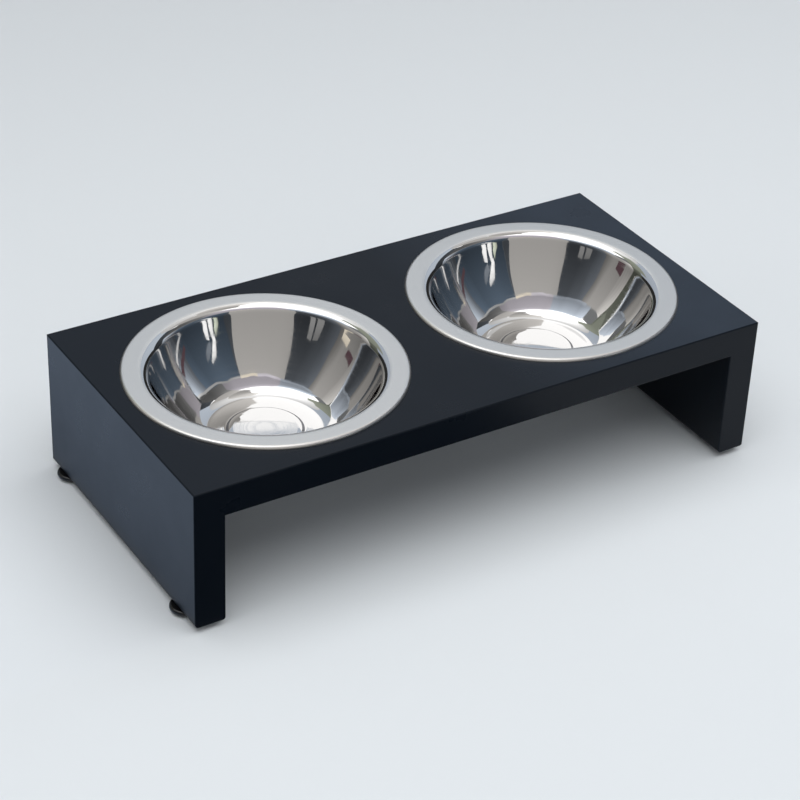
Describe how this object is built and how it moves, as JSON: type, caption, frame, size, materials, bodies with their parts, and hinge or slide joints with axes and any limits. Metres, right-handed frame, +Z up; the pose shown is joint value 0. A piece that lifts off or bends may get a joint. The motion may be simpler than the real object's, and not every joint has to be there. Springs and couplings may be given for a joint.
{
  "type": "dog feeder stand",
  "caption": "Low bench-shaped feeder stand of mitred black boards, whose top has round cut-outs that hold flat-rimmed steel bowls, on small plastic feet.",
  "frame": {"origin": "on the floor, under the middle of the stand: the flats of the feet are at Z = 0", "axes": "+Z up, +X along the row of bowls, towards the right-hand bowl seen from the front, +Y to the back"},
  "size_m": [0.3664, 0.177, 0.0898],
  "materials": {
    "board_paint": "fibreboard with matt black paint",
    "bowl_steel": "stainless steel, satin rim and polished inside",
    "foot_plastic": "glossy black moulded plastic",
    "nail_steel": "bright zinc-plated steel",
    "dowel_beech": "bare beech"
  },
  "bodies": {
    "stand": {"top_board": "board_paint", "left_side_board": "board_paint", "right_side_board": "board_paint", "front_left_foot": "foot_plastic", "rear_left_foot": "foot_plastic", "front_right_foot": "foot_plastic", "rear_right_foot": "foot_plastic", "front_left_nail": "nail_steel", "rear_left_nail": "nail_steel", "front_right_nail": "nail_steel", "rear_right_nail": "nail_steel", "left_dowel_front": "dowel_beech", "left_dowel_front_middle": "dowel_beech", "left_dowel_rear_middle": "dowel_beech", "left_dowel_rear": "dowel_beech", "right_dowel_front": "dowel_beech", "right_dowel_front_middle": "dowel_beech", "right_dowel_rear_middle": "dowel_beech", "right_dowel_rear": "dowel_beech"},
    "loose_left_bowl": {"left_bowl": "bowl_steel"},
    "loose_right_bowl": {"right_bowl": "bowl_steel"}
  },
  "joints": [
    {"name": "left_bowl_lift", "type": "slide", "parent": "stand", "child": "loose_left_bowl", "axis": [0, 0, 1], "range_m": [0, 0.08]},
    {"name": "right_bowl_lift", "type": "slide", "parent": "stand", "child": "loose_right_bowl", "axis": [0, 0, 1], "range_m": [0, 0.08]}
  ]
}
